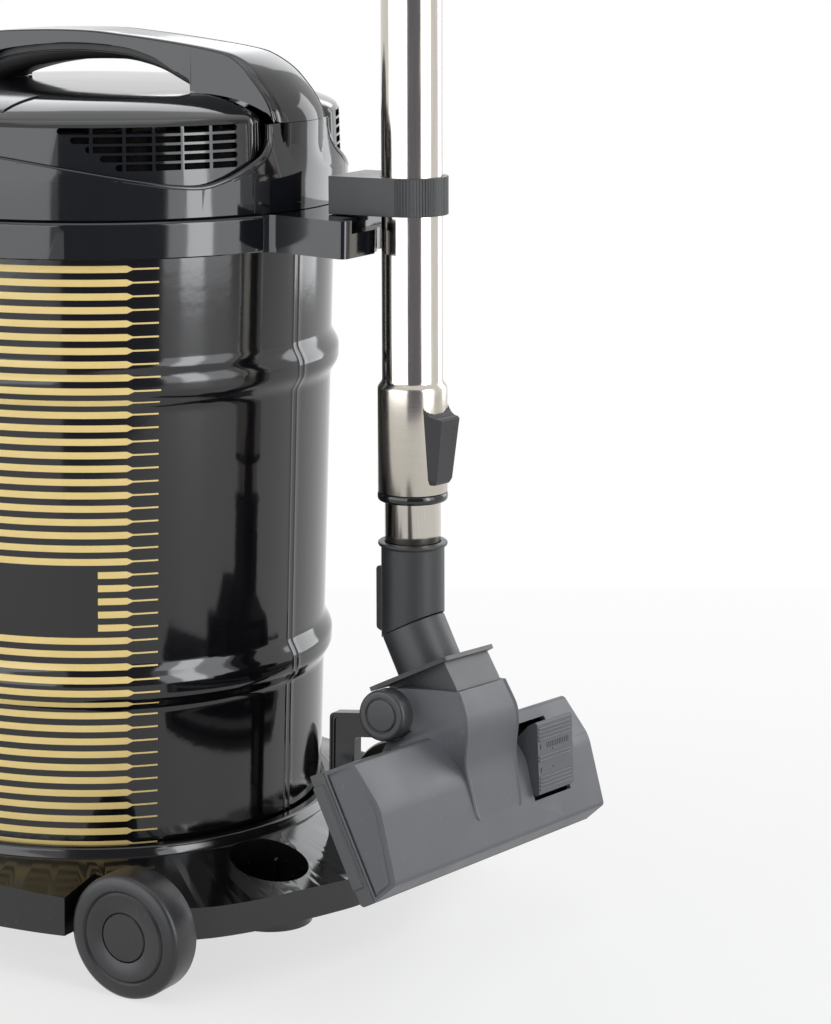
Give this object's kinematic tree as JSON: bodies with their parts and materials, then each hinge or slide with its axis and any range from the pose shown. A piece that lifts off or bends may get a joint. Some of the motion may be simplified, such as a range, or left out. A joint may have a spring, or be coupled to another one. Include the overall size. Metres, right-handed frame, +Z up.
{
  "type": "drum vacuum cleaner",
  "caption": "Drum vacuum cleaner on wheels: black steel tank, latched motor head with carrying handle, and a steel telescopic wand with its floor head parked behind.",
  "frame": {"origin": "centre of the bounding box's footprint, on the floor under the wheels", "axes": "+Z up, +Y towards the back, where the wand and floor head are parked; -Y towards the front, where the hose inlet is; +X to the machine's left side"},
  "size_m": [0.368, 0.514, 0.8502],
  "materials": {
    "black_lacquered_steel": "high gloss lacquer with gold line print",
    "satin_black_plastic": "satin moulded",
    "black_rubber": "dull",
    "gloss_black_plastic": "high gloss moulded",
    "plain_steel": "plain turned or pressed",
    "filter_cloth": "felted",
    "filter_foam": "open foam",
    "brushed_steel": "brushed round the tube",
    "dark_graphite_plastic": "fine matt grain",
    "graphite_plastic": "fine matt grain",
    "brush_bristle": "stiff nylon"
  },
  "bodies": {
    "base": {"tank_shell": "black_lacquered_steel", "hose_inlet": "satin_black_plastic", "inlet_gasket": "black_rubber", "base_chassis": "gloss_black_plastic", "rear_axle_left": "plain_steel", "rear_axle_right": "plain_steel", "collar_ring": "gloss_black_plastic", "latch_pin_left": "plain_steel", "latch_pin_right": "plain_steel", "filter_ring": "satin_black_plastic", "filter_cage": "satin_black_plastic", "filter_bag": "filter_cloth", "head_housing": "gloss_black_plastic", "cord_gland": "black_rubber", "head_seal": "black_rubber", "motor_mount_ring": "black_rubber", "fan_housing": "plain_steel", "motor_casing": "plain_steel", "exhaust_filter_left": "filter_foam", "exhaust_filter_right": "filter_foam", "dome_cover": "gloss_black_plastic", "handle_cover": "gloss_black_plastic", "handle_grip": "satin_black_plastic", "parking_bracket": "gloss_black_plastic"},
    "rear_wheel_left": {"rear_wheel_left": "satin_black_plastic", "rear_wheel_cap_left": "satin_black_plastic"},
    "rear_wheel_right": {"rear_wheel_right": "satin_black_plastic", "rear_wheel_cap_right": "satin_black_plastic"},
    "caster_left": {"caster_fork_left": "satin_black_plastic", "caster_axle_left": "plain_steel"},
    "caster_right": {"caster_fork_right": "satin_black_plastic", "caster_axle_right": "plain_steel"},
    "caster_wheel_left": {"caster_wheel_left": "satin_black_plastic"},
    "caster_wheel_right": {"caster_wheel_right": "satin_black_plastic"},
    "latch_left": {"latch_left": "gloss_black_plastic"},
    "latch_right": {"latch_right": "gloss_black_plastic"},
    "power_button": {"power_button": "satin_black_plastic"},
    "impeller": {"impeller": "plain_steel"},
    "wand_lower": {"wand_inner_tube": "brushed_steel", "neck_socket": "dark_graphite_plastic"},
    "wand_upper": {"wand_outer_tube": "brushed_steel", "tube_end_ring": "satin_black_plastic", "guide_sleeve": "satin_black_plastic", "parking_clamp": "dark_graphite_plastic"},
    "slide_lock": {"slide_lock": "satin_black_plastic"},
    "neck": {"neck_yoke": "graphite_plastic"},
    "nozzle": {"nozzle_cover": "graphite_plastic", "nozzle_frame": "graphite_plastic", "sole_plate": "plain_steel", "pivot_pin_left": "plain_steel", "pivot_pin_right": "plain_steel"},
    "head_wheel_left": {"head_wheel_left": "dark_graphite_plastic"},
    "head_wheel_right": {"head_wheel_right": "dark_graphite_plastic"},
    "brush_pedal": {"brush_pedal": "dark_graphite_plastic"},
    "brush_carriage": {"brush_carriage": "satin_black_plastic", "brush_strip_rear": "brush_bristle", "brush_strip_front": "brush_bristle"}
  },
  "joints": [
    {"name": "rear_wheel_left_roll", "type": "hinge", "parent": "base", "child": "rear_wheel_left", "pos_m": [0.159, 0.0941, 0.037], "axis": [1, 0, 0], "continuous": true},
    {"name": "rear_wheel_right_roll", "type": "hinge", "parent": "base", "child": "rear_wheel_right", "pos_m": [-0.159, 0.0941, 0.037], "axis": [1, 0, 0], "continuous": true},
    {"name": "caster_left_swivel", "type": "hinge", "parent": "base", "child": "caster_left", "pos_m": [0.086, -0.174, 0.046], "axis": [0, 0, 1], "continuous": true},
    {"name": "caster_right_swivel", "type": "hinge", "parent": "base", "child": "caster_right", "pos_m": [-0.086, -0.174, 0.046], "axis": [0, 0, 1], "continuous": true},
    {"name": "caster_left_roll", "type": "hinge", "parent": "caster_left", "child": "caster_wheel_left", "pos_m": [0.086, -0.15899, 0.02], "axis": [1, 0, 0], "continuous": true},
    {"name": "caster_right_roll", "type": "hinge", "parent": "caster_right", "child": "caster_wheel_right", "pos_m": [-0.086, -0.15899, 0.02], "axis": [1, 0, 0], "continuous": true},
    {"name": "latch_left_open", "type": "hinge", "parent": "base", "child": "latch_left", "pos_m": [0.1682, -0.04999, 0.431], "axis": [0, 1, 0], "range_deg": [0, 90]},
    {"name": "latch_right_open", "type": "hinge", "parent": "base", "child": "latch_right", "pos_m": [-0.1682, -0.04999, 0.431], "axis": [0, -1, 0], "range_deg": [0, 90]},
    {"name": "power_button_press", "type": "slide", "parent": "base", "child": "power_button", "axis": [0, 0, -1], "range_m": [0, 0.003], "stiffness_N_per_m": 600},
    {"name": "impeller_spin", "type": "hinge", "parent": "base", "child": "impeller", "pos_m": [0, -0.04999, 0.46], "axis": [0, 0, 1], "continuous": true},
    {"name": "wand_lift", "type": "slide", "parent": "base", "child": "wand_lower", "axis": [0, 0, 1], "range_m": [0, 0.15]},
    {"name": "wand_telescope", "type": "slide", "parent": "wand_lower", "child": "wand_upper", "axis": [0, -0.0187, 0.9998], "range_m": [0, 0.38]},
    {"name": "tube_lock_slide", "type": "slide", "parent": "wand_upper", "child": "slide_lock", "axis": [0, -0.0187, 0.9998], "range_m": [0, 0.006], "stiffness_N_per_m": 200},
    {"name": "neck_swivel", "type": "hinge", "parent": "wand_lower", "child": "neck", "pos_m": [0, 0.18601, 0.2], "axis": [0.0793, 0.4899, -0.8681], "range_deg": [-9, 30]},
    {"name": "nozzle_tilt", "type": "hinge", "parent": "neck", "child": "nozzle", "pos_m": [0.00412, 0.20001, 0.15506], "axis": [0.9958, 0.0013, 0.0917], "range_deg": [-20, 15]},
    {"name": "head_wheel_left_roll", "type": "hinge", "parent": "nozzle", "child": "head_wheel_left", "pos_m": [0.05391, 0.20008, 0.15965], "axis": [0.9958, 0.0013, 0.0917], "continuous": true},
    {"name": "head_wheel_right_roll", "type": "hinge", "parent": "nozzle", "child": "head_wheel_right", "pos_m": [-0.04567, 0.19994, 0.15048], "axis": [0.9958, 0.0013, 0.0917], "continuous": true},
    {"name": "brush_pedal_rock", "type": "hinge", "parent": "nozzle", "child": "brush_pedal", "pos_m": [-0.06088, 0.24187, 0.10998], "axis": [0.9958, 0.0013, 0.0917], "range_deg": [0, 20]},
    {"name": "brush_drop", "type": "slide", "parent": "nozzle", "child": "brush_carriage", "axis": [0.0461, -0.8718, -0.4878], "range_m": [0, 0.005]}
  ],
  "couplings": [
    {"joint": "brush_pedal_rock", "follows": "brush_drop", "rad_per_m": 69}
  ]
}
